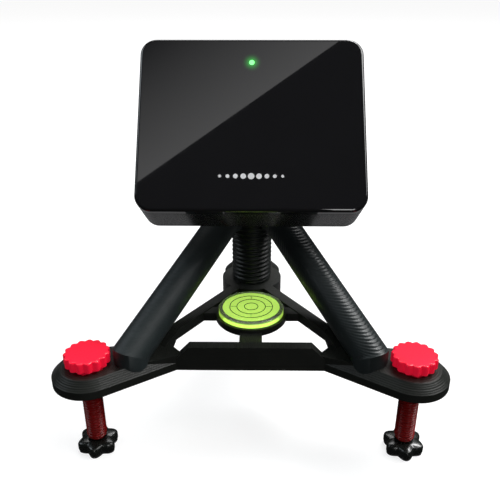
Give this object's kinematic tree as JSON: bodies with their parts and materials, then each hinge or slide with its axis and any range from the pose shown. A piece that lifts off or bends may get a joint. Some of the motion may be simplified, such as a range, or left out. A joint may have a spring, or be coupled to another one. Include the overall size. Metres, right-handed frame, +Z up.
{
  "type": "launch monitor",
  "caption": "Pocket golf launch monitor with a dark gloss face, tilted back on a levelling tripod stand with screw feet, a bullseye level, struts and a ridged mast.",
  "frame": {"origin": "on the ground at the centre of the footprint", "axes": "+Z up; the monitor face looks towards -Y; +X is to the right as seen from in front of the face"},
  "size_m": [0.153, 0.116, 0.1529],
  "materials": {
    "black_print": "layered printed plastic, slight sheen",
    "red_print": "glossy red printed plastic",
    "foot_print": "glossy black printed plastic",
    "black_rubber": "matte rubber",
    "steel": "zinc plated steel",
    "black_steel": "black oxide",
    "clear_acrylic": "clear acrylic",
    "level_liquid": "yellow-green fluorescent liquid",
    "air_bubble": "air bubble in the liquid",
    "level_white": "pale green backing",
    "level_ink": "printed ink",
    "face_gloss": "high gloss smoked face",
    "shell_black": "satin black shell",
    "inner_plastic": "moulded chassis",
    "board_green": "solder mask",
    "copper": "gold plated copper",
    "foam": "radar absorbing foam",
    "chip_black": "moulded package",
    "can_metal": "tin plated",
    "battery_foil": "foil pouch cell",
    "ribbon": "polyimide flex",
    "brass_insert": "knurled brass",
    "led_green": "lit status lamp"
  },
  "bodies": {
    "base": {"base_frame": "black_print", "leg_nuts": "steel", "level_vial": "clear_acrylic", "level_window": "clear_acrylic", "level_fluid": "level_liquid", "level_bubble": "air_bubble", "level_backing": "level_white", "level_rings": "level_ink", "strut_left": "black_print", "strut_right": "black_print", "strut_screws": "black_steel", "mast": "black_print", "mast_bolt": "steel", "mast_nut": "steel", "mast_head": "black_print"},
    "monitor": {"tilt_plate": "black_print", "grip_pad": "black_rubber", "tilt_pin": "steel", "tilt_washer": "steel", "mount_screw": "steel", "front_lens": "face_gloss", "housing_gasket": "black_rubber", "mid_housing": "shell_black", "rear_housing": "shell_black", "housing_screws": "black_steel", "inner_frame": "inner_plastic", "radar_board": "board_green", "antenna_patches": "copper", "absorber_foam": "foam", "radar_chip": "chip_black", "shield_can": "can_metal", "board_screws": "steel", "main_board": "board_green", "main_board_chips": "chip_black", "battery_pack": "battery_foil", "battery_bracket": "can_metal", "board_ribbon": "ribbon", "usb_connector": "can_metal", "usb_cap_pin": "steel", "button_switch": "chip_black", "status_led": "led_green", "light_pipe": "led_green", "tripod_insert": "brass_insert"},
    "tilt_knob": {"tilt_knob": "red_print"},
    "power_button": {"power_button": "shell_black"},
    "usb_cap": {"usb_cap": "black_rubber"},
    "foot_left": {"foot_left": "foot_print", "foot_sole_left": "black_rubber"},
    "screw_left": {"leg_screw_left": "red_print", "leg_knob_left": "red_print"},
    "foot_right": {"foot_right": "foot_print", "foot_sole_right": "black_rubber"},
    "screw_right": {"leg_screw_right": "red_print", "leg_knob_right": "red_print"},
    "foot_rear": {"foot_rear": "foot_print", "foot_sole_rear": "black_rubber"},
    "screw_rear": {"leg_screw_rear": "red_print", "leg_knob_rear": "red_print"}
  },
  "joints": [
    {"name": "monitor_tilt", "type": "hinge", "parent": "base", "child": "monitor", "pos_m": [0, 0.02, 0.097], "axis": [1, 0, 0], "range_deg": [-20, 4]},
    {"name": "tilt_knob_turn", "type": "hinge", "parent": "monitor", "child": "tilt_knob", "pos_m": [0.0148, 0.02, 0.097], "axis": [1, 0, 0], "range_deg": [0, 360]},
    {"name": "power_button_press", "type": "slide", "parent": "monitor", "child": "power_button", "axis": [0, -0.5878, -0.809], "range_m": [0, 0.0006], "stiffness_N_per_m": 800, "springref_m": -0.0005},
    {"name": "usb_cap_open", "type": "hinge", "parent": "monitor", "child": "usb_cap", "pos_m": [0.0435, -0.00568, 0.09886], "axis": [0, 0.809, -0.5878], "range_deg": [0, 90]},
    {"name": "leg_travel_left", "type": "slide", "parent": "base", "child": "foot_left", "axis": [0, 0, 1], "range_m": [0, 0.0238]},
    {"name": "leg_turn_left", "type": "hinge", "parent": "foot_left", "child": "screw_left", "pos_m": [-0.0625, -0.044, 0.02], "axis": [0, 0, 1], "range_deg": [0, 6860]},
    {"name": "leg_travel_right", "type": "slide", "parent": "base", "child": "foot_right", "axis": [0, 0, 1], "range_m": [0, 0.0238]},
    {"name": "leg_turn_right", "type": "hinge", "parent": "foot_right", "child": "screw_right", "pos_m": [0.0625, -0.044, 0.02], "axis": [0, 0, 1], "range_deg": [0, 6860]},
    {"name": "leg_travel_rear", "type": "slide", "parent": "base", "child": "foot_rear", "axis": [0, 0, 1], "range_m": [0, 0.0238]},
    {"name": "leg_turn_rear", "type": "hinge", "parent": "foot_rear", "child": "screw_rear", "pos_m": [0, 0.044, 0.02], "axis": [0, 0, 1], "range_deg": [0, 6860]}
  ],
  "couplings": [
    {"joint": "leg_turn_left", "follows": "leg_travel_left", "rad_per_m": 5026.5},
    {"joint": "leg_turn_right", "follows": "leg_travel_right", "rad_per_m": 5026.5},
    {"joint": "leg_turn_rear", "follows": "leg_travel_rear", "rad_per_m": 5026.5}
  ]
}
